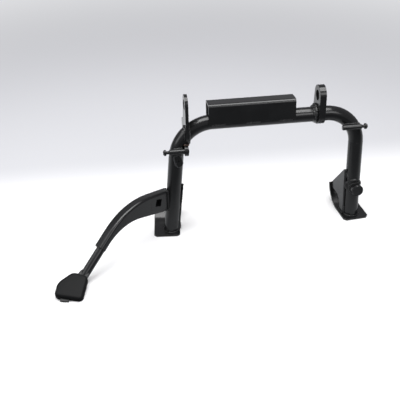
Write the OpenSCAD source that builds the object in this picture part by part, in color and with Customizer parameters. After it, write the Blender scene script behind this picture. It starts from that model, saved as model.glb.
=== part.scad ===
// Motorcycle centre stand: a welded U of round tube with a folded saddle, two pivot lugs,
// spring pins, rocker feet and a foot lever. Origin at the centre of the left pivot bore,
// +X towards the right leg, +Y towards the front of the motorcycle, +Z up.

/* [Stance] */
// Height of the pivot axis above the ground
pivot_height = 258; // [240:1:280]
// Distance between the middles of the two pivot eyes
pivot_span = 250; // [232:1:262]
// Lean of the tube frame away from the lever side, degrees
lean = 6; // [4:0.5:8]

/* [Main tube] */
// Outside diameter of the tube
tube_d = 28; // [25:0.5:30]
// Wall of the tube
tube_wall = 2.5; // [1.5:0.1:3.5]
// Radius of the left bend, at the middle of the tube
left_bend_radius = 71; // [64:1:76]
// Radius of the right bend, at the middle of the tube
right_bend_radius = 61; // [55:1:68]
// Reach of the left leg from the middle of the lugs, at the height of the bar
left_leg_reach = 139; // [134:1:146]
// Reach of the right leg from the middle of the lugs, at the height of the bar
right_leg_reach = 200; // [193:1:212]
// Outward splay of the left leg, degrees
left_splay = 6; // [3:0.5:8]
// Outward splay of the right leg, degrees
right_splay = 0; // [0:0.5:4]

/* [Cross channel] */
// Length of the folded saddle over the bar
channel_length = 162; // [140:1:166]
// Shift of the saddle towards the left lug
channel_shift = 4; // [0:0.5:8]
// Height of the saddle above the middle of the bar
channel_height = 38; // [33:0.5:42]
// Thickness of the folded sheet
channel_sheet = 3; // [2:0.25:4]
// Outside radius of the folds
fold_radius = 6; // [4.5:0.5:8]

/* [Pivot lugs] */
// Diameter of the pivot bores
pivot_bore_d = 20; // [16:0.5:22]
// Outside diameter of the eyes
eye_d = 38; // [34:0.5:42]
// Height of the eye above the middle of the bar
eye_rise = 39; // [35:0.5:44]
// Distance of the eye in front of the bar, on the lever side
eye_forward = 7; // [3:0.5:10]
// Thickness of the left lug plate
left_lug_t = 6; // [5:0.5:8]
// Thickness of the right lug
right_lug_t = 12; // [10:0.5:14]
// Diameter of the left lug's collar round the tube
left_collar_d = 47; // [45:0.5:52]
// Diameter of the right lug's collar round the tube
right_collar_d = 43; // [41:0.5:48]
// Reach of the stop heel behind the bar
heel_reach = 34; // [28:1:38]
// Diameter of the rounded heel
heel_d = 25; // [20:1:28]

/* [Spring pins] */
// Diameter of the pin shank
pin_d = 10; // [8:0.5:12]
// Diameter in the spring groove
groove_d = 6; // [5:0.5:7]
// Width of the spring groove
groove_width = 6; // [4.5:0.5:8]
// Length of a pin from end to end
pin_length = 48; // [44:1:54]
// Length of the pin head
pin_head = 5; // [4:0.5:7]
// Drop of the left pin below the bar
left_pin_drop = 47; // [44:1:52]
// Drop of the right pin below the bar
right_pin_drop = 25; // [20:1:32]
// Depth of the weld saddle that the pins sit in
pin_seat = 1; // [0.6:0.1:1.5]

/* [Foot lever] */
// Turn of the lever towards the rider, degrees
lever_turn = 40; // [34:1:46]
// Height above the ground of the lever's lower line at the leg
lever_lift = 70; // [66:1:76]
// Outside depth of the folded lever channel
lever_depth = 20.5; // [20.5:0.5:24]
// Thickness of the lever sheet
lever_sheet = 2; // [1.5:0.25:2]
// Outside radius of the lever's folds
lever_fold = 5; // [4:0.25:6]
// Slope of the tail of the lever, degrees
lever_fall = 39; // [37:1:41]
// Radius of the lever's back
lever_back_radius = 140; // [130:1:150]
// Radius of the lever's belly
lever_belly_radius = 100; // [92:1:108]
// Length of the straight tail past the bend
lever_tail = 34; // [28:1:40]
// Width of the square hole in the front wall
square_hole = 14; // [8:0.5:16]
// Diameter of the lever rod
rod_d = 16; // [14:0.5:16]
// Length of the rod
rod_length = 94; // [88:1:95]

/* [Pedal] */
// Width of the pedal pad
pad_width = 49; // [45:1:54]
// Length of the pedal pad
pad_length = 51; // [47:1:56]
// Thickness of the pedal pad
pad_thickness = 13; // [12:0.5:15]
// Thickness of the steel plate in the pad
pedal_plate_t = 4; // [3:0.5:5]
// Tilt of the pad towards the rider, degrees
pad_tilt = 20; // [17:1:23]

/* [Feet] */
// Width of the rocker skid
skid_width = 50; // [46:1:54]
// Thickness of the skid plate
skid_t = 4; // [3:0.5:5]
// Length of the flat sole
sole_length = 43; // [38:1:48]
// Radius of the rocker's underside
rocker_radius = 48; // [44:1:54]
// Sweep of the rocker, degrees
rocker_sweep = 78; // [74:1:82]
// Toe-out of each foot, degrees
toe_out = 5.5; // [3:0.5:7]
// Thickness of the gusset plate
gusset_t = 5; // [4:0.5:6]
// Height of the gusset against the leg
gusset_height = 99; // [90:1:110]
// Height of the arch under the gusset
arch_height = 32; // [28:1:34]

/* [Small fittings] */
// Diameter of the stop boss on the right leg
boss_d = 23; // [18:0.5:26]
// Reach of the stop boss in front of the leg's middle
boss_reach = 27; // [22:0.5:32]
// Drop of the stop boss below the bar
boss_drop = 156; // [140:1:170]
// Length of the oval drain boss on the left leg
drain_length = 23; // [18:0.5:28]
// Width of the oval drain boss
drain_width = 12; // [10:0.5:14]
// Diameter of the drain hole
drain_hole_d = 5; // [4:0.5:6]

/* [Hidden] */
$fn = 96;

far = 400;
// Depth by which a straight runs inside the round that it leaves, so that the two join
lap = 0.1;
// Length by which a bend runs into its straights
bend_lap = 1;
steel = [0.11, 0.11, 0.12];
rubber = [0.05, 0.05, 0.05];
tube_r = tube_d / 2;
half_span = pivot_span / 2;
ground = -pivot_height;

// Where each leg's middle line meets the ground, along the legs and along Y
leg_at_ground = eye_rise + (ground + eye_forward * sin(lean)) / cos(lean);
foot_y = eye_forward * cos(lean) + (leg_at_ground - eye_rise) * sin(lean);
left_foot_x = half_span - left_leg_reach + leg_at_ground * tan(left_splay);
right_foot_x = half_span + right_leg_reach - leg_at_ground * tan(right_splay);

// Height of the lever's lower line at the leg, from the bar, to the whole millimetre
lever_base = round(leg_at_ground + lever_lift);

// Each bend starts on the bar where its turn and radius put it
left_turn = 90 - left_splay;
right_turn = 90 - right_splay;
left_bend_x = -left_leg_reach + left_bend_radius * tan(left_turn / 2);
right_bend_x = right_leg_reach - right_bend_radius * tan(right_turn / 2);

// Height of the tube's middle where the left lug crosses the bend
left_lug_z = sqrt(pow(left_bend_radius, 2) - pow(half_span + left_bend_x, 2)) - left_bend_radius;

// Moves a shape drawn on the bar's middle line to its place at the pivot axis
module on_frame() {
    rotate([-lean, 0, 0])
        translate([half_span, eye_forward, -eye_rise])
            children();
}

// Moves a shape drawn along X and Z to the lever's upright plane
module on_lever() {
    lever_x = -left_leg_reach + lever_base * tan(left_splay);
    translate([lever_x, 0, 0])
        rotate([0, 0, 180 + lever_turn])
            children();
}

// Turns a flat drawing so that its X runs along Y and its height along Z
module across(length) {
    rotate([90, 0, 90])
        linear_extrude(length, center = true)
            children();
}

// Two discs joined along their outer tangents
module link(p, rp, q, rq, thickness) {
    gap = norm(q - p);
    along = (q - p) / gap;
    side = [-along[1], along[0]];
    tilt = (rp - rq) / gap;
    spread = sqrt(1 - pow(tilt, 2));
    up = along * tilt + side * spread;
    down = along * tilt - side * spread;
    near = rp - lap;
    away = rq - lap;
    translate(p) cylinder(h = thickness, r = rp);
    translate(q) cylinder(h = thickness, r = rq);
    linear_extrude(thickness)
        polygon([p + up * near, q + up * away, q + down * away, p + down * near]);
}

// A sheet folded into an upside-down U, seen along its length
module folded_section(width, height, sheet, radius) {
    difference() {
        rounded_top(width, height, radius);
        translate([0, -sheet])
            rounded_top(width - 2 * sheet, height, radius - sheet);
    }
}

module rounded_top(width, height, radius) {
    translate([-width / 2, 0])
        square([width, height - radius]);
    translate([-width / 2 + radius, 0])
        square([width - 2 * radius, height]);
    for (side = [-1, 1])
        translate([side * (width / 2 - radius), height - radius])
            circle(radius);
}

// The whole run of the tube as a solid bar of the given radius
module tube_run(radius) {
    translate([left_bend_x, 0, 0])
        rotate([0, 90, 0])
            cylinder(h = right_bend_x - left_bend_x, r = radius);
    leg_run(left_bend_x, left_bend_radius, 90, left_turn, radius);
    mirror([1, 0, 0])
        leg_run(-right_bend_x, right_bend_radius, 90, right_turn, radius);
}

// A bent tube is a hair thinner in its bends, which run a little way into the straights
module leg_run(bend_x, bend_radius, from_angle, turn, radius) {
    spill = bend_lap / bend_radius * 180 / PI;
    translate([bend_x, 0, -bend_radius]) {
        rotate([90, 0, 0])
            rotate([0, 0, from_angle - spill])
                rotate_extrude(angle = turn + 2 * spill)
                    translate([bend_radius, 0])
                        circle(radius - lap);
        rotate([0, 270 - turn, 0])
            translate([bend_radius, 0, 0])
                cylinder(h = far - bend_radius, r = radius);
    }
}

module below(height) {
    translate([-far, -far, height - far])
        cube([2 * far, 2 * far, far]);
}

module main_tube() {
    color(steel)
        difference() {
            on_frame() difference() {
                tube_run(tube_r);
                tube_run(tube_r - tube_wall);
            }
            below(ground + skid_t);
        }
}

saddle_width = tube_d + 2 * channel_sheet;

module cross_channel() {
    color(steel)
        on_frame()
            translate([-channel_shift, 0, 0])
                across(channel_length)
                    folded_section(saddle_width, channel_height, channel_sheet, fold_radius);
}

// Lug plate: eye, collar round the tube and stop heel behind it, in the lug's side view
module lug(x, thickness, collar, collar_d, heel_z) {
    eye = [-eye_forward, eye_rise];
    heel = [heel_reach, heel_z];
    difference() {
        translate([x - thickness / 2, 0, 0])
            rotate([90, 0, 90]) {
                link(eye, eye_d / 2, collar, collar_d / 2, thickness);
                link(collar, collar_d / 2, heel, heel_d / 2, thickness);
            }
        tube_run(tube_r);
        translate([x, -eye_forward, eye_rise])
            rotate([0, 90, 0])
                cylinder(h = 2 * thickness, d = pivot_bore_d, center = true);
    }
}

module left_lug_body() {
    lug(-half_span, left_lug_t, [0, left_lug_z + 5], left_collar_d, left_lug_z + 8);
}

module left_pivot_lug() {
    color(steel)
        on_frame()
            left_lug_body();
}

module right_pivot_lug() {
    color(steel)
        on_frame()
            lug(half_span, right_lug_t, [-2.5, 4], right_collar_d, -14);
}

// Pin along X with its head at the +X end and its inner end at x = 0
module spring_pin() {
    shank = pin_length - pin_head - groove_width;
    neck_end = shank + groove_width;
    head_r = pin_d / 2 + 0.6;
    edge = 1.2;
    rotate([0, 90, 0])
        rotate_extrude()
            polygon([
                [0, 0],
                [pin_d / 2 - edge, 0],
                [pin_d / 2, edge],
                [pin_d / 2, shank - edge],
                [groove_d / 2, shank + edge],
                [groove_d / 2, neck_end - edge],
                [head_r, neck_end],
                [head_r, pin_length - 2 * edge],
                [head_r - 2 * edge, pin_length],
                [0, pin_length]
            ]);
}

// Reach of a bend's middle line at a given drop below the bar
function bend_reach(bend_radius, drop) = sqrt(pow(bend_radius, 2) - pow(bend_radius - drop, 2));
pin_y = -(tube_r + pin_d / 2 - pin_seat);
left_pin_inset = 19;
right_pin_inset = 22;
left_pin_x = left_bend_x - bend_reach(left_bend_radius, left_pin_drop) + left_pin_inset;
right_pin_x = right_bend_x + bend_reach(right_bend_radius, right_pin_drop) - right_pin_inset;

module left_spring_pin() {
    color(steel)
        on_frame() difference() {
            translate([left_pin_x, pin_y, -left_pin_drop])
                mirror([1, 0, 0])
                    spring_pin();
            tube_run(tube_r);
        }
}

module right_spring_pin() {
    color(steel)
        on_frame() difference() {
            translate([right_pin_x, pin_y, -right_pin_drop])
                spring_pin();
            tube_run(tube_r);
        }
}

// Small plate beside the tube, under the left lug, that carries the inner end of the left pin
module left_pin_bracket() {
    bracket_t = 7;
    bracket_half = 10;
    outer_y = pin_y - pin_d / 2 - 2;
    color(steel)
        on_frame() difference() {
            translate([left_pin_x - bracket_t - 1, 0, -left_pin_drop])
                rotate([90, 0, 90])
                    link([outer_y + bracket_half, 0], bracket_half, [-2, -1], bracket_half - 1, bracket_t);
            tube_run(tube_r);
            left_lug_body();
            translate([left_pin_x, pin_y, -left_pin_drop])
                rotate([0, 90, 0])
                    cylinder(h = pin_length, d = pin_d, center = true);
        }
}

// Oval drain boss on the front of the left leg, just below the bend
module drain_boss() {
    drain_drop = 67;
    stand_off = 2;
    x = -left_leg_reach - drain_drop * tan(left_splay) + 3;
    half_run = (drain_length - drain_width) / 2;
    color(steel)
        on_frame() difference() {
            translate([x, 0, -drain_drop])
                rotate([90, 0, 0])
                    link([-1, half_run], drain_width / 2, [1, -half_run], drain_width / 2, tube_r + stand_off);
            tube_run(tube_r);
            translate([x, -tube_r - stand_off, -drain_drop])
                rotate([90, 0, 0])
                    cylinder(h = 2 * stand_off + 1, d = drain_hole_d, center = true);
        }
}

// Round stop boss on the front of the right leg
module stop_boss() {
    edge = 2;
    x = right_leg_reach + boss_drop * tan(right_splay) + 2.5;
    color(steel)
        on_frame() difference() {
            translate([x, 0, -boss_drop])
                rotate([90, 0, 0]) {
                    cylinder(h = boss_reach - edge, d = boss_d);
                    translate([0, 0, boss_reach - edge])
                        cylinder(h = edge, d1 = boss_d, d2 = boss_d - 2 * edge);
                }
            tube_run(tube_r);
        }
}

// Lever outline: back and belly are each two straights joined by an arc
lever_rise = 6;
lever_corner = [113, lever_base + 31];
belly_rise = 10;
belly_corner = [131.5, lever_base + 0.8];
lever_inner = 8;
lever_wall = 75;
flange_start = tube_r + 6;

// Middle of the arc that joins a rising and a falling straight
function hump_middle(corner, rise, fall, radius) =
    corner - radius / cos((rise + fall) / 2) * [sin((fall - rise) / 2), cos((fall - rise) / 2)];

lever_middle = hump_middle(lever_corner, lever_rise, lever_fall, lever_back_radius);
rod_mid = -lever_depth / 2;

// Stands a shape drawn in the lever's side view upright, centred on the lever's depth
module in_side_view() {
    translate([0, rod_mid, 0])
        rotate([90, 0, 0])
            children();
}

// The channel's folded section, pointing away from the middle of its back
module lever_section(inset) {
    translate([lever_back_radius - lever_wall, 0])
        rotate(-90)
            folded_section(lever_depth - 2 * inset, lever_wall - inset, lever_sheet - 2 * inset, lever_fold - inset);
}

// Falling tail, bend and rising straight that runs on past the leg
module lever_run() {
    spill = bend_lap / lever_back_radius * 180 / PI;
    translate(lever_middle)
        rotate(90 - lever_fall) {
            rotate([90, 0, 0])
                linear_extrude(lever_tail)
                    lever_section(0);
            rotate(-spill)
                rotate_extrude(angle = lever_rise + lever_fall + 2 * spill, $fn = 180)
                    lever_section(lap);
            rotate(lever_rise + lever_fall)
                rotate([-90, 0, 0])
                    linear_extrude(far)
                        lever_section(0);
        }
}

// Everything below the lever's curved belly
module below_belly() {
    middle = hump_middle(belly_corner, belly_rise, lever_fall, lever_belly_radius);
    from = middle + (lever_belly_radius - lap) * [-sin(belly_rise), cos(belly_rise)];
    to = middle + (lever_belly_radius - lap) * [sin(lever_fall), cos(lever_fall)];
    depth = 2 * lever_depth;
    translate([0, 0, -lever_depth]) {
        translate(middle)
            cylinder(h = depth, r = lever_belly_radius, $fn = 180);
        linear_extrude(depth)
            polygon([middle, from, from - far * [cos(belly_rise), sin(belly_rise)], middle - [far, 2 * far]]);
        linear_extrude(depth)
            polygon([middle, to, to + far * [cos(lever_fall), -sin(lever_fall)], middle + [far, -2 * far]]);
    }
}

module lever_channel() {
    hole_place = [39.3, lever_base + 5.7];
    hole_turn = 16.5;
    slot = lever_depth - 2 * lever_fold - 2;
    color(steel)
        on_frame() difference() {
            on_lever() in_side_view() difference() {
                lever_run();
                below_belly();
                translate([lever_inner - far, -far, -lever_depth])
                    cube([far, far, 2 * lever_depth]);
                translate([0, -far, -slot / 2])
                    cube([flange_start, far, slot]);
                translate(hole_place)
                    rotate(hole_turn)
                        translate([0, 0, -lever_depth / 2])
                            cube([square_hole, square_hole, 3 * lever_sheet], center = true);
            }
            tube_run(tube_r);
        }
}

// The rod lies against the inside of the lever's back, along its falling tail
rod_from = lever_back_radius * tan((lever_rise + lever_fall) / 2) + 2;
rod_start = lever_corner - (lever_sheet + rod_d / 2) * [sin(lever_fall), cos(lever_fall)]
    + rod_from * [cos(lever_fall), -sin(lever_fall)];
rod_tip = rod_start + rod_length * [cos(lever_fall), -sin(lever_fall)];

module rod_bar() {
    on_frame()
        on_lever()
            translate([rod_start[0], rod_mid, rod_start[1]])
                rotate([0, 90 + lever_fall, 0])
                    cylinder(h = rod_length, d = rod_d);
}

// Level axes at the rod's tip, then the pad's own tilt and turn about its top face
pad_offset = [-16, -23, 9];
pad_turn = -13;
plate_top = -7;

module on_pad() {
    on_frame()
        on_lever()
            translate([rod_tip[0], rod_mid, rod_tip[1]])
                rotate([0, 0, -180 - lever_turn])
                    rotate([lean, 0, 0])
                        translate(pad_offset)
                            rotate([pad_tilt, 0, 0])
                                rotate([0, 0, pad_turn])
                                    children();
}

module lever_rod() {
    color(steel)
        difference() {
            rod_bar();
            below(ground);
        }
}

// Middle of the circle that rounds the corner at b between a and c
function corner_middle(a, b, c, radius) =
    let (
        to_a = (a - b) / norm(a - b),
        to_c = (c - b) / norm(c - b),
        half = acos(to_a * to_c) / 2
    )
    b + (to_a + to_c) / norm(to_a + to_c) * radius / sin(half);

// Outward offset of the side from a to c, whose inside lies on its right
function side_offset(a, c, reach) = [a[1] - c[1], c[0] - a[0]] / norm(c - a) * reach;

// Pad outline, clockwise from its peak: three square corners and a long slope on the left
pad_half = [pad_width / 2, pad_length / 2];
pad_corners = [
    [-3, pad_half[1]],
    [pad_half[0], pad_half[1] - 6],
    [pad_half[0] - 2, -pad_half[1]],
    [-pad_half[0] + 3, -pad_half[1] + 3],
    [-pad_half[0], 0]
];
pad_radii = [9, 6, 7, 7, 9];

// Slab in the pad's outline, drawn in by an inset: a cylinder in each corner, a plate between
module pad_slab(inset, thickness) {
    last = len(pad_corners) - 1;
    middles = [
        for (i = [0 : last])
            corner_middle(
                pad_corners[i == 0 ? last : i - 1],
                pad_corners[i],
                pad_corners[i == last ? 0 : i + 1],
                pad_radii[i]
            )
    ];
    for (i = [0 : last])
        translate([middles[i][0], middles[i][1], 0])
            cylinder(h = thickness, r = pad_radii[i] - inset);
    linear_extrude(thickness)
        polygon([
            for (i = [0 : last])
                let (
                    j = i == last ? 0 : i + 1,
                    a = pad_corners[i],
                    c = pad_corners[j]
                )
                each [
                    middles[i] + side_offset(a, c, pad_radii[i] - inset - lap),
                    middles[j] + side_offset(a, c, pad_radii[j] - inset - lap)
                ]
        ]);
}

module pedal_plate_body() {
    tongue = 15;
    tongue_side = -16;
    reach = 6;
    rod_seat = [14.5, 28];
    on_pad()
        translate([0, 0, plate_top - pedal_plate_t]) {
            pad_slab(5, pedal_plate_t);
            link([5, 3], 11, rod_seat, rod_d / 2 + 0.5, pedal_plate_t);
            translate([tongue_side, -pad_length / 2 - reach, 0])
                cube([tongue, pad_length / 2, pedal_plate_t]);
        }
}

module pedal_plate() {
    color(steel)
        difference() {
            pedal_plate_body();
            rod_bar();
            below(ground);
        }
}

module pedal_pad() {
    color(rubber)
        difference() {
            on_pad()
                translate([0, 0, -pad_thickness])
                    pad_slab(0, pad_thickness);
            pedal_plate_body();
            rod_bar();
            below(ground);
        }
}

// Places a foot at the end of a leg, with its outer side towards +X
module on_left_foot() {
    translate([left_foot_x, foot_y, ground])
        rotate([0, 0, -toe_out])
            mirror([1, 0, 0])
                children();
}

module on_right_foot() {
    translate([right_foot_x, foot_y, ground])
        rotate([0, 0, toe_out])
            children();
}

heel_front = -21;
rocker_y = heel_front + sole_length;
gusset_inner = -tube_r - 3.5;
left_skid_inner = gusset_inner + 0.5;
right_skid_inner = gusset_inner - 3.5;

module skid(inner) {
    corner = 5;
    rear_cut = 16;
    difference() {
        union() {
            translate([inner, heel_front, 0])
                cube([skid_width, sole_length, skid_t]);
            translate([inner, rocker_y, rocker_radius])
                rotate([0, 90, 0])
                    rotate_extrude(angle = rocker_sweep, $fn = 120)
                        translate([rocker_radius - skid_t, 0])
                            square([skid_t, skid_width]);
        }
        corner_cut([inner, heel_front], corner);
        corner_cut([inner + skid_width, heel_front], corner);
        corner_cut([inner + skid_width, rocker_y + rocker_radius * sin(rocker_sweep)], rear_cut);
    }
}

module corner_cut(place, size) {
    translate([place[0], place[1], 0])
        rotate([0, 0, 45])
            cube([size * sqrt(2), size * sqrt(2), 2 * rocker_radius], center = true);
}

// Side view of the gusset: leg edge, sloping top, arch over the sole
module gusset_outline() {
    tip_r = rocker_radius - skid_t / 2;
    tip_angle = rocker_sweep - 1;
    tip = [rocker_y + tip_r * sin(tip_angle), rocker_radius - tip_r * cos(tip_angle)];
    arch_r = 20;
    arch = [rocker_y + 16, arch_height - arch_r];
    difference() {
        polygon([
            [0, 0],
            [arch[0], 0],
            [tip[0], arch_height],
            tip,
            [gusset_height * tan(lean) + 3, gusset_height],
            [gusset_height * tan(lean), gusset_height]
        ]);
        translate(arch) circle(arch_r);
        translate([arch[0] - arch_r, -1])
            square([2 * arch_r, arch[1] + 1]);
        translate([arch[0], -1])
            square([far, arch_height + 1]);
    }
}

// The gusset leans with its leg, so its foot starts a little further in on the skid
module gusset(splay, skid_inner) {
    difference() {
        translate([gusset_inner + gusset_t * tan(splay) * 2, 0, 0])
            rotate([0, -splay, 0])
                rotate([90, 0, 90])
                    linear_extrude(gusset_t)
                        gusset_outline();
        skid(skid_inner);
    }
}

module left_foot_skid() {
    color(steel) on_left_foot() skid(left_skid_inner);
}

module right_foot_skid() {
    color(steel) on_right_foot() skid(right_skid_inner);
}

module left_foot_gusset() {
    color(steel)
        difference() {
            on_left_foot() gusset(left_splay, left_skid_inner);
            on_frame() tube_run(tube_r);
        }
}

module right_foot_gusset() {
    color(steel)
        difference() {
            on_right_foot() gusset(right_splay, right_skid_inner);
            on_frame() tube_run(tube_r);
        }
}

main_tube();
cross_channel();
left_pivot_lug();
right_pivot_lug();
left_spring_pin();
right_spring_pin();
left_pin_bracket();
drain_boss();
stop_boss();
lever_channel();
lever_rod();
pedal_plate();
pedal_pad();
left_foot_skid();
left_foot_gusset();
right_foot_skid();
right_foot_gusset();
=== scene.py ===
import math

import bpy
from mathutils import Matrix, Quaternion, Vector


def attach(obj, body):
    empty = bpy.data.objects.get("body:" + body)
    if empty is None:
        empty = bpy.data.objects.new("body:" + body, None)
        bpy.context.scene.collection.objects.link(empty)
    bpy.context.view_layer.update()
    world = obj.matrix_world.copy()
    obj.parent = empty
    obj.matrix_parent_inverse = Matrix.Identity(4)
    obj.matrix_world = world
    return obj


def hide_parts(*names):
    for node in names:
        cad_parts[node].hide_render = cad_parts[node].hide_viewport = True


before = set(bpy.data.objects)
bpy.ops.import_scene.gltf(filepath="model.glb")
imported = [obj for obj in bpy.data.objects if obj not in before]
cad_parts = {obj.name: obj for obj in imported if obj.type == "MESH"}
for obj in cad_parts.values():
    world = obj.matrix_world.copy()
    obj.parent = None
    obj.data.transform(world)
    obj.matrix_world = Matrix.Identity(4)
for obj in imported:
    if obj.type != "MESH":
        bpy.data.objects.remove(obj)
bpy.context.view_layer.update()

# The stand's own measures, in metres and degrees, as in its solids
GROUND = -0.258
LEAN = 6.0
HALF_SPAN = 0.125
EYE_FORWARD = 0.007
EYE_RISE = 0.039
TUBE_R = 0.014
LEFT_BEND_R = 0.071
RIGHT_BEND_R = 0.061
LEFT_REACH = 0.139
RIGHT_REACH = 0.200
LEFT_SPLAY = 6.0
LEFT_BEND_X = LEFT_BEND_R * math.tan(math.radians((90 - LEFT_SPLAY) / 2)) - LEFT_REACH
LUG_HALF = {"left": 0.003, "right": 0.006}
LEVER_TURN = 40.0
LEVER_FALL = 39.0
LEVER_X = -0.154766
LEFT_FOOT = Vector((-0.0371, -0.0201, GROUND))
RIGHT_FOOT = Vector((0.325, -0.0201, GROUND))
TOE_OUT = 5.5
SKID_T = 0.004
PAD_TOP = Vector((-0.22577, -0.18040, -0.23858))
PAD_TILT = 20.0
PAD_TURN = -13.0


class Wire:
    """A socket in a finish's node tree, with the sums that the finishes use."""

    def __init__(self, tree, socket=None):
        self.tree = tree
        self.socket = socket

    def node(self, kind, settings=None, sockets=None, out=0):
        made = self.tree.nodes.new(kind)
        for name, value in (settings or {}).items():
            setattr(made, name, value)
        for name, value in (sockets or {}).items():
            if isinstance(value, Wire):
                self.tree.links.new(value.socket, made.inputs[name])
            else:
                made.inputs[name].default_value = value
        return Wire(self.tree, made.outputs[out] if len(made.outputs) else None)

    def sum(self, operation, left, right):
        return self.node("ShaderNodeMath", {"operation": operation}, {0: left, 1: right})

    def __add__(self, other):
        return self.sum("ADD", self, other)

    __radd__ = __add__

    def __sub__(self, other):
        return self.sum("SUBTRACT", self, other)

    def __rsub__(self, other):
        return self.sum("SUBTRACT", other, self)

    def __mul__(self, other):
        return self.sum("MULTIPLY", self, other)

    __rmul__ = __mul__


def new_finish(name):
    finish = bpy.data.materials.new(name)
    finish.use_nodes = True
    finish.node_tree.nodes.clear()
    return finish, Wire(finish.node_tree)


def blend_colour(wire, factor, first, second):
    """First colour where the factor is 0, second where it is 1."""
    return wire.node(
        "ShaderNodeMix",
        {"data_type": "RGBA"},
        {0: factor, 6: first, 7: second},
        out=2,
    )


def grey(level, warm=0.0):
    return (level * (1 + warm), level, level * (1 - warm), 1.0)


def noise(wire, place, scale, detail=2.0, roughness=0.5):
    sockets = {"Vector": place, "Scale": scale, "Detail": detail, "Roughness": roughness}
    return wire.node("ShaderNodeTexNoise", None, sockets, out="Fac")


def fade(wire, value, low, high):
    """0 below low, 1 above high and smooth between."""
    sockets = {"Value": value, "From Min": low, "From Max": high}
    return wire.node("ShaderNodeMapRange", {"interpolation_type": "SMOOTHSTEP"}, sockets)


def powder_coat(name, tone=0.0085, rough=0.18, peel_depth=0.00003, edge=0.0007, brown=0.0):
    """Satin black powder coat: orange peel, slow changes of gloss and edges that run thick."""
    finish, wire = new_finish(name)
    place = wire.node("ShaderNodeTexCoord", out="Object")
    peel = noise(wire, place, 620.0, 2.0, 0.45)
    grain = noise(wire, place, 2600.0, 1.0)
    cloud = noise(wire, place, 28.0, 3.0, 0.55)
    streak = fade(wire, cloud, 0.35, 0.7)
    colour = blend_colour(wire, streak, grey(tone * 0.85, -0.04), grey(tone * 1.25, -0.04))
    if brown:
        speck = fade(wire, noise(wire, place, 420.0, 3.0, 0.6), 0.42, 0.6) * brown
        colour = blend_colour(wire, speck, colour, (0.17, 0.085, 0.05, 1.0))
    gloss = rough + (cloud - 0.5) * 0.16 + (peel - 0.5) * 0.08
    rounded = wire.node("ShaderNodeBevel", {"samples": 6}, {"Radius": edge})
    height = peel + grain * 0.25
    normal = wire.node(
        "ShaderNodeBump",
        None,
        {"Strength": 0.55, "Distance": peel_depth, "Height": height, "Normal": rounded},
    )
    shader = wire.node(
        "ShaderNodeBsdfPrincipled",
        None,
        {
            "Base Color": colour,
            "Roughness": gloss,
            "Normal": normal,
            "Specular IOR Level": 0.5,
        },
    )
    wire.node("ShaderNodeOutputMaterial", None, {"Surface": shader})
    return finish


def moulded_rubber(name):
    """Matt black rubber with a fine spark-eroded grain from its mould."""
    finish, wire = new_finish(name)
    place = wire.node("ShaderNodeTexCoord", out="Object")
    grain = noise(wire, place, 1500.0, 3.0, 0.6)
    cloud = noise(wire, place, 45.0, 3.0)
    colour = blend_colour(wire, cloud, grey(0.005, -0.04), grey(0.009, -0.04))
    gloss = 0.5 + (grain - 0.5) * 0.2 + (cloud - 0.5) * 0.1
    rounded = wire.node("ShaderNodeBevel", {"samples": 6}, {"Radius": 0.0015})
    normal = wire.node(
        "ShaderNodeBump",
        None,
        {"Strength": 0.5, "Distance": 0.00015, "Height": grain, "Normal": rounded},
    )
    shader = wire.node(
        "ShaderNodeBsdfPrincipled",
        None,
        {"Base Color": colour, "Roughness": gloss, "Normal": normal, "Specular IOR Level": 0.11},
    )
    wire.node("ShaderNodeOutputMaterial", None, {"Surface": shader})
    return finish


HAZE = (0.78, 0.785, 0.805, 1.0)


def studio_floor(name):
    """Pale sweep: white near the stand, painted shade turning it light grey well behind it, and painted dark in front
    for reflected and bounced rays.
    """
    finish, wire = new_finish(name)
    place = wire.node("ShaderNodeTexCoord", out="Object")
    axes = wire.node("ShaderNodeSeparateXYZ", None, {"Vector": place}, out="Y")
    # Painted shade: the floor colour turns grey with distance behind the stand.
    far_shade_mask = fade(wire, axes, 0.05, 0.29)
    seen = blend_colour(wire, far_shade_mask, grey(0.97), (0.568, 0.573, 0.595, 1.0))
    # Painted dark reflection and painted shade: rays other than the camera's see the floor dark in front of the stand
    # and lighter behind it.
    reflected_floor_shade = blend_colour(wire, fade(wire, axes, -0.35, 0.1), grey(0.12, -0.04), grey(0.6, -0.02))
    camera = wire.node("ShaderNodeLightPath", out="Is Camera Ray")
    colour = blend_colour(wire, camera, reflected_floor_shade, seen)
    shader = wire.node(
        "ShaderNodeBsdfPrincipled",
        None,
        {"Base Color": colour, "Roughness": 0.9, "Specular IOR Level": 0.1},
    )
    distance = wire.node("ShaderNodeVectorMath", {"operation": "LENGTH"}, {0: place}, out="Value")
    haze = wire.node("ShaderNodeEmission", None, {"Color": HAZE, "Strength": 1.0})
    swept = wire.node("ShaderNodeMixShader", None, {0: fade(wire, distance, 0.75, 1.9) * camera, 1: shader, 2: haze})
    wire.node("ShaderNodeOutputMaterial", None, {"Surface": swept})
    return finish


coat = powder_coat("satin_black_powder_coat")
thick_coat = powder_coat("powder_coat_over_weld", tone=0.009, rough=0.28, peel_depth=0.0001, edge=0.0003)
rough_coat = powder_coat("matt_powder_coat", tone=0.008, rough=0.5, peel_depth=0.00006)
# Glossy coat over welds, lighter than the others: its raised tone is a painted highlight, its gloss is real.
glossy_highlight_coat = powder_coat("glossy_coat_over_weld_painted_highlight", tone=0.03, rough=0.13, peel_depth=0.00006, edge=0.0003)
# Thin coat over weld: the brown specks are the weld's own tint, the raised tone is a painted highlight.
weld_tint_and_highlight = powder_coat("thin_coat_over_weld_brown_and_painted_highlight", tone=0.02, rough=0.45, edge=0.0003, brown=0.75)
rubber = moulded_rubber("pedal_rubber")

for node_name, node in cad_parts.items():
    node.data.materials.clear()
    node.data.materials.append({"pedal_pad": rubber, "pedal_plate": rough_coat}.get(node_name, coat))


def deselect():
    bpy.ops.object.select_all(action="DESELECT")


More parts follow.
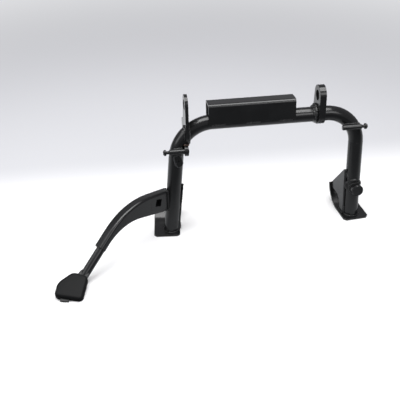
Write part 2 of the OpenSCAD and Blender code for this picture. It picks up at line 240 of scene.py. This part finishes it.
def in_tube_plane(x, y, z):
    """A point measured from the middle of the bar, brought to the stand's leaning plane."""
    place = Vector((x + HALF_SPAN, y + EYE_FORWARD, z - EYE_RISE))
    return Matrix.Rotation(math.radians(-LEAN), 3, "X") @ place


def on_lever(x, y, z):
    """A point in the lever's upright plane, brought to the stand."""
    turned = Matrix.Rotation(math.radians(180 + LEVER_TURN), 3, "Z") @ Vector((x, y, z))
    return in_tube_plane(turned.x + LEVER_X, turned.y, turned.z)


def on_foot(side, x, y, z):
    """A point measured from the end of a leg, with +x on the foot's outer side."""
    if side == "left":
        turned = Matrix.Rotation(math.radians(-TOE_OUT), 3, "Z") @ Vector((-x, y, z))
        return LEFT_FOOT + turned
    return RIGHT_FOOT + Matrix.Rotation(math.radians(TOE_OUT), 3, "Z") @ Vector((x, y, z))


def along(start, end, step):
    """Places from start to end, about a step apart."""
    start, end = Vector(start), Vector(end)
    count = max(2, round((end - start).length / step) + 1)
    return [start.lerp(end, i / (count - 1)) for i in range(count)]


def arc_angles(first, last, radius, step):
    """Angles in radians from first to last degrees, a step apart on the radius."""
    count = max(2, round(math.radians(abs(last - first)) * radius / step) + 1)
    return [math.radians(first + (last - first) * i / (count - 1)) for i in range(count)]


# Weld beads: one drop, copied along each seam and grown into one skin

def add_drop():
    deselect()
    bpy.ops.mesh.primitive_ico_sphere_add(subdivisions=2, radius=0.001)
    bpy.ops.object.mode_set(mode="EDIT")
    bpy.ops.mesh.select_all(action="SELECT")
    bpy.ops.transform.resize(value=(1.0, 0.92, 0.96))
    bpy.ops.object.mode_set(mode="OBJECT")
    return bpy.context.object


def apply_modifier(piece, kind, settings):
    bpy.ops.object.modifier_add(type=kind)
    modifier = piece.modifiers[-1]
    for name, value in settings.items():
        setattr(modifier, name, value)
    bpy.ops.object.modifier_apply(modifier=modifier.name)


def lay_weld(drop, name, places, size, finish):
    """A bead of drops of about a size in millimetres, remeshed to one skin."""
    copies = []
    for i, place in enumerate(places):
        deselect()
        drop.select_set(True)
        bpy.context.view_layer.objects.active = drop
        bpy.ops.object.duplicate(linked=False)
        grow = size * (1 + 0.1 * math.sin(2.4 * i) + 0.06 * math.sin(5.1 * i))
        bpy.ops.transform.resize(value=(grow, grow, grow))
        bpy.ops.transform.translate(value=place)
        copies.append(bpy.context.object)
    deselect()
    for copy in copies:
        copy.select_set(True)
    bead = copies[0]
    bpy.context.view_layer.objects.active = bead
    bpy.ops.object.join()
    bpy.ops.object.transform_apply(location=True, rotation=True, scale=True)
    apply_modifier(bead, "REMESH", {"mode": "VOXEL", "voxel_size": 0.0006})
    apply_modifier(bead, "SMOOTH", {"factor": 0.5, "iterations": 2})
    bpy.ops.object.shade_smooth()
    bead.name = name
    bead.data.name = name
    bead.data.materials.clear()
    bead.data.materials.append(finish)
    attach(bead, "root")
    return bead


def left_lug_ring(face):
    """The seam between the left lug's face and the bend, where the lug covers it."""
    run = LEFT_BEND_X - face
    places = []
    for angle in arc_angles(-180, 180, TUBE_R * 1.2, 0.0019):
        rho = LEFT_BEND_R + TUBE_R * math.cos(angle)
        y = TUBE_R * math.sin(angle)
        z = math.sqrt(rho * rho - run * run) - LEFT_BEND_R
        if math.hypot(y, z + 0.0156) < 0.0232:
            places.append(in_tube_plane(face, y, z))
    return places


def right_lug_ring(face):
    angles = arc_angles(-180, 174, TUBE_R, 0.0019)
    return [in_tube_plane(face, TUBE_R * math.sin(a), TUBE_R * math.cos(a)) for a in angles]


def boss_ring(x, z, axis_x, radius, half_run, first, last, step):
    """The seam of a boss on the front of a leg: a circle, or an oval with straight sides."""
    rim = []
    for angle in arc_angles(first, last, radius, step):
        rise = radius * math.sin(angle)
        rim.append((radius * math.cos(angle), rise + math.copysign(half_run, rise)))
    if half_run:
        rim += [(side * radius, half_run * i / 5) for side in (-1, 1) for i in range(-4, 5)]
    places = []
    for out, rise in rim:
        across = x + out - 0.2 * max(-half_run, min(half_run, rise))
        depth = math.sqrt(max(TUBE_R**2 - (across - axis_x) ** 2, 0.00001))
        places.append(in_tube_plane(across, -depth - 0.0006 * math.sin(2.7 * len(places)), z + rise))
    return places


def add_welds():
    drop = add_drop()
    left, right = -HALF_SPAN, HALF_SPAN
    seams = [
        ("weld_left_lug_outer", left_lug_ring(left - LUG_HALF["left"] - 0.0006), 2.2),
        ("weld_left_lug_inner", left_lug_ring(left + LUG_HALF["left"] + 0.0008), 2.8),
        ("weld_right_lug_outer", right_lug_ring(right + LUG_HALF["right"] + 0.0006), 2.3),
        ("weld_right_lug_inner", right_lug_ring(right - LUG_HALF["right"] - 0.0010), 3.0),
    ]
    for side, y in (("front", -0.0150), ("rear", 0.0150)):
        for i, (start, end) in enumerate(((-0.078, -0.054), (-0.014, 0.010), (0.048, 0.070))):
            places = [in_tube_plane(*place) for place in along((start, y, -0.0012), (end, y, -0.0012), 0.0018)]
            seams.append((f"weld_saddle_{side}_{i + 1}", places, 1.9))
    pin_line = [in_tube_plane(x, -0.0150, -0.0424) for x in (-0.150, -0.1483, -0.1466, -0.1449, -0.1432)]
    pin_line += [in_tube_plane(x, -0.0148, -0.0420) for x in (-0.1415, -0.1398, -0.1380, -0.1362)]
    seams.append(("weld_left_pin_top", pin_line, 2.1))
    pin_line = [in_tube_plane(*p) for p in along((-0.149, -0.0145, -0.0519), (-0.136, -0.0145, -0.0519), 0.0018)]
    seams.append(("weld_left_pin_bottom", pin_line, 1.7))
    bracket = along((-0.1300, -0.0120, -0.0372), (-0.1235, -0.0120, -0.0372), 0.0016)
    bracket += along((-0.1295, -0.0148, -0.0362), (-0.1240, -0.0148, -0.0362), 0.0016)
    pin_tip = [in_tube_plane(*place) for place in bracket]
    pin_top = [in_tube_plane(*p) for p in along((0.174, -0.0140, -0.0200), (0.200, -0.0118, -0.0212), 0.0017)]
    seams.append(("weld_right_pin_top", pin_top, 2.3))
    pin_low = [in_tube_plane(*p) for p in along((0.176, -0.0138, -0.0300), (0.197, -0.0126, -0.0298), 0.0018)]
    seams.append(("weld_right_pin_bottom", pin_low, 1.8))
    drain = boss_ring(-0.14304, -0.067, -0.14604, 0.0062, 0.0055, -180, 176, 0.0010)
    stop = boss_ring(0.2025, -0.156, 0.200, 0.0118, 0.0, -180, 176, 0.0017)
    seams.append(("weld_stop_boss", stop, 2.1))
    shoulder = boss_ring(0.1990, -0.1515, 0.200, 0.0132, 0.0, 10, 205, 0.0021)
    seams.append(("weld_stop_boss_shoulder", shoulder, 3.1))
    tail = [in_tube_plane(*p) for p in along((0.1862, -0.0030, -0.1280), (0.1895, -0.0100, -0.1400), 0.0021)]
    seams.append(("weld_stop_boss_tail", tail, 2.6))
    wall = [on_lever(0.0142, 0.0004, z) for z in (-0.1315 - 0.0018 * i for i in range(21))]
    seams.append(("weld_lever_front", wall, 2.2))
    roof = [on_lever(math.sqrt(0.0146**2 - y * y), -y, -0.1300) for y in (0.0017 * i for i in range(8))]
    roof += [on_lever(x, y, -0.1301) for x in (0.0165, 0.0185) for y in (-0.006, -0.0085, -0.011, -0.0135)]
    seams.append(("weld_lever_top", roof, 2.4))
    belly = [on_lever(x, -0.0008, -0.1694 + 0.0018 * i) for i, x in enumerate((0.0155, 0.018, 0.0205, 0.023))]
    seams.append(("weld_lever_bottom", belly, 2.2))
    seat = []
    for angle in arc_angles(-115, 115, 0.0085, 0.0015):
        out, up = 0.0087 * math.sin(angle), 0.0087 * math.cos(angle)
        fall = math.radians(LEVER_FALL)
        x = 0.1779 + up * math.sin(fall)
        z = -0.1844 + up * math.cos(fall)
        seat.append(on_lever(x, -0.01025 + out, z))
    seams.append(("weld_rod_seat", seat, 1.5))
    for side, splay in (("left", LEFT_SPLAY), ("right", 0.0)):
        slope = math.tan(math.radians(LEAN))
        drift = math.tan(math.radians(splay))
        foot = [
            on_foot(side, 0.0143 * math.sin(a), 0.0143 * math.cos(a), SKID_T + 0.0004)
            for a in arc_angles(-180, 175, 0.0143, 0.0018)
        ]
        seams.append((f"weld_{side}_leg_foot", foot, 1.6))
        for part, first, count in (("top", 0.062, 20), ("bottom", 0.007, 7)):
            edge = [
                on_foot(side, -0.0148 - z * drift, z * slope - 0.0006, z)
                for z in (first + 0.0019 * i for i in range(count))
            ]
            seams.append((f"weld_{side}_gusset_{part}", edge, 2.1))
        back = [
            on_foot(side, -0.0122 - z * drift, z * slope + 0.0072, z)
            for z in (0.008 + 0.0019 * i for i in range(44))
        ]
        seams.append((f"weld_{side}_gusset_rear", back, 1.9))
        sole = [on_foot(side, -0.0178, 0.003 + 0.0018 * i, SKID_T + 0.0003) for i in range(10)]
        seams.append((f"weld_{side}_gusset_sole", sole, 1.7))
    shoulder = [
        in_tube_plane(right - LUG_HALF["right"] - out, radius * math.sin(a), radius * math.cos(a))
        for out, radius in ((0.0018, 0.0180), (0.0040, 0.0160), (0.0062, 0.0143))
        for a in arc_angles(-75, 60, radius, 0.0022)
    ]
    seams.append(("weld_right_lug_shoulder", shoulder, 2.7))
    for name, places, size in seams:
        lay_weld(drop, name, places, size, thick_coat)
    # The lug tip weld: brown specks of its own, with a lighter tone as a painted highlight.
    lay_weld(drop, "weld_left_lug_tip", pin_tip, 2.2, weld_tint_and_highlight)
    # The drain boss ring and both lug patches take the lighter coat, a painted highlight on each weld.
    lay_weld(drop, "weld_drain_boss", drain, 2.3, glossy_highlight_coat)
    left_patch = [
        in_tube_plane(left + 0.0045 + 0.0008 * (i % 2), -0.0085 - 0.0009 * i, -0.0050 - 0.0018 * i) for i in range(7)
    ]
    lay_weld(drop, "weld_left_lug_patch", left_patch, 2.9, glossy_highlight_coat)
    right_patch = [
        in_tube_plane(right - 0.0085 + 0.0008 * (i % 2), -0.0128 - 0.0006 * (i % 3), 0.0022 * (i - 3)) for i in range(7)
    ]
    lay_weld(drop, "weld_right_lug_patch", right_patch, 3.1, glossy_highlight_coat)
    deselect()
    drop.select_set(True)
    bpy.ops.object.delete()


add_welds()


# Pedal pad: five corners drawn, rounded, extruded and domed

PAD_CORNERS = (
    (-0.0045, 0.0255),
    (-0.0270, 0.0010),
    (-0.0275, -0.0255),
    (0.0222, -0.0285),
    (0.0243, 0.0200),
)
PAD_DEPTH = 0.0130


def pick(piece, wanted):
    """Selects the points that a test wants, as a click on each would."""
    bpy.ops.object.mode_set(mode="EDIT")
    bpy.ops.mesh.select_mode(type="VERT")
    bpy.ops.mesh.select_all(action="DESELECT")
    bpy.ops.object.mode_set(mode="OBJECT")
    for point in piece.data.vertices:
        point.select = wanted(point)
    bpy.ops.object.mode_set(mode="EDIT")


def add_pad():
    deselect()
    bpy.ops.mesh.primitive_circle_add(vertices=5, radius=0.027, fill_type="NGON")
    pad = bpy.context.object
    pad.name = "moulded_pedal_pad"
    for i, corner in enumerate(PAD_CORNERS):
        pick(pad, lambda point: point.index == i)
        here = pad.data.vertices[i].co
        bpy.ops.transform.translate(value=(corner[0] - here.x, corner[1] - here.y, 0))
    pick(pad, lambda point: True)
    bpy.ops.mesh.bevel(offset=0.0075, segments=7, affect="VERTICES")
    bpy.ops.mesh.select_all(action="SELECT")
    bpy.ops.mesh.extrude_region_move(TRANSFORM_OT_translate={"value": (0, 0, -PAD_DEPTH)})
    pick(pad, lambda point: point.co.z > -0.0001)
    bpy.ops.mesh.bevel(offset=0.0045, segments=6, affect="EDGES")
    pick(pad, lambda point: point.co.z > -0.0001)
    bpy.ops.mesh.inset(thickness=0.0020)
    bpy.ops.transform.translate(value=(0, 0, 0.0003))
    bpy.ops.mesh.poke(offset=0.0007)
    pick(pad, lambda point: point.co.z < 0.0001 - PAD_DEPTH)
    bpy.ops.mesh.bevel(offset=0.0012, segments=3, affect="EDGES")
    bpy.ops.mesh.select_all(action="SELECT")
    bpy.ops.mesh.normals_make_consistent(inside=False)
    pivot = {"orient_type": "GLOBAL", "center_override": (0, 0, 0)}
    bpy.ops.transform.rotate(value=-math.radians(PAD_TURN), orient_axis="Z", **pivot)
    bpy.ops.transform.rotate(value=-math.radians(PAD_TILT), orient_axis="X", **pivot)
    bpy.ops.transform.translate(value=PAD_TOP)
    bpy.ops.mesh.select_all(action="SELECT")
    bpy.ops.mesh.bisect(plane_co=(0, 0, GROUND), plane_no=(0, 0, 1), use_fill=True, clear_inner=True)
    bpy.ops.object.mode_set(mode="OBJECT")
    bpy.ops.object.shade_smooth_by_angle(angle=math.radians(35))
    pad.data.materials.append(rubber)
    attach(pad, "root")
    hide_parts("pedal_pad")


add_pad()


# Camera, floor and light

CAMERA_PLACE = Vector((-0.1266, -1.1783, 0.5636))
CAMERA_AIM = Vector((0.10581, 0.83240, -0.54398))
CAMERA_ROLL = -1.0624
CAMERA_LENS = 65.16


def add_camera():
    bpy.ops.object.camera_add(location=CAMERA_PLACE)
    camera = bpy.context.object
    camera.name = "camera"
    camera.rotation_mode = "QUATERNION"
    level = CAMERA_AIM.to_track_quat("-Z", "Y")
    camera.rotation_quaternion = level @ Quaternion((0, 0, 1), math.radians(CAMERA_ROLL))
    camera.data.lens = CAMERA_LENS
    camera.data.sensor_width = 36.0
    camera.data.clip_start = 0.01
    camera.data.clip_end = 50.0
    bpy.context.scene.camera = camera


def add_floor():
    deselect()
    bpy.ops.mesh.primitive_plane_add(size=12.0, location=(0, 0, GROUND))
    floor = bpy.context.object
    floor.name = "studio_floor"
    floor.data.materials.append(studio_floor("studio_floor_white"))


def add_lamp(name, place, aim, width, depth, power):
    bpy.ops.object.light_add(type="AREA", location=place)
    lamp = bpy.context.object
    lamp.name = name
    lamp.rotation_mode = "QUATERNION"
    lamp.rotation_quaternion = (Vector(aim) - Vector(place)).to_track_quat("-Z", "Y")
    lamp.data.shape = "RECTANGLE"
    lamp.data.size = width
    lamp.data.size_y = depth
    lamp.data.energy = power


add_camera()
add_floor()
add_lamp("overhead_softbox", (0.1, 0.1, 1.5), (0.1, 0.0, -0.2), 1.6, 0.9, 26.0)
add_lamp("front_strip", (0.1, -0.45, 1.3), (0.1, 0.0, 0.0), 1.5, 0.22, 8.0)
add_lamp("left_softbox", (-1.6, -0.5, 0.9), (0.0, 0.0, -0.1), 1.0, 1.4, 9.0)
add_lamp("lever_strip", (-0.9, 0.1, 1.1), (-0.15, -0.1, -0.1), 0.25, 1.1, 3.5)
add_lamp("front_fill", (0.9, -1.7, 1.2), (0.1, 0.0, -0.1), 1.2, 0.9, 9.0)

world = bpy.data.worlds.new("studio")
bpy.context.scene.world = world
world.use_nodes = True
world.node_tree.nodes.clear()
sky = Wire(world.node_tree)
room = sky.node("ShaderNodeBackground", None, {"Color": (0.96, 0.95, 1.0, 1.0), "Strength": 0.3})
seen_sky = sky.node("ShaderNodeBackground", None, {"Color": HAZE, "Strength": 1.0})
camera_ray = sky.node("ShaderNodeLightPath", out="Is Camera Ray")
either = sky.node("ShaderNodeMixShader", None, {0: camera_ray, 1: room, 2: seen_sky})
sky.node("ShaderNodeOutputWorld", None, {"Surface": either})

bpy.context.scene.view_settings.view_transform = "Standard"
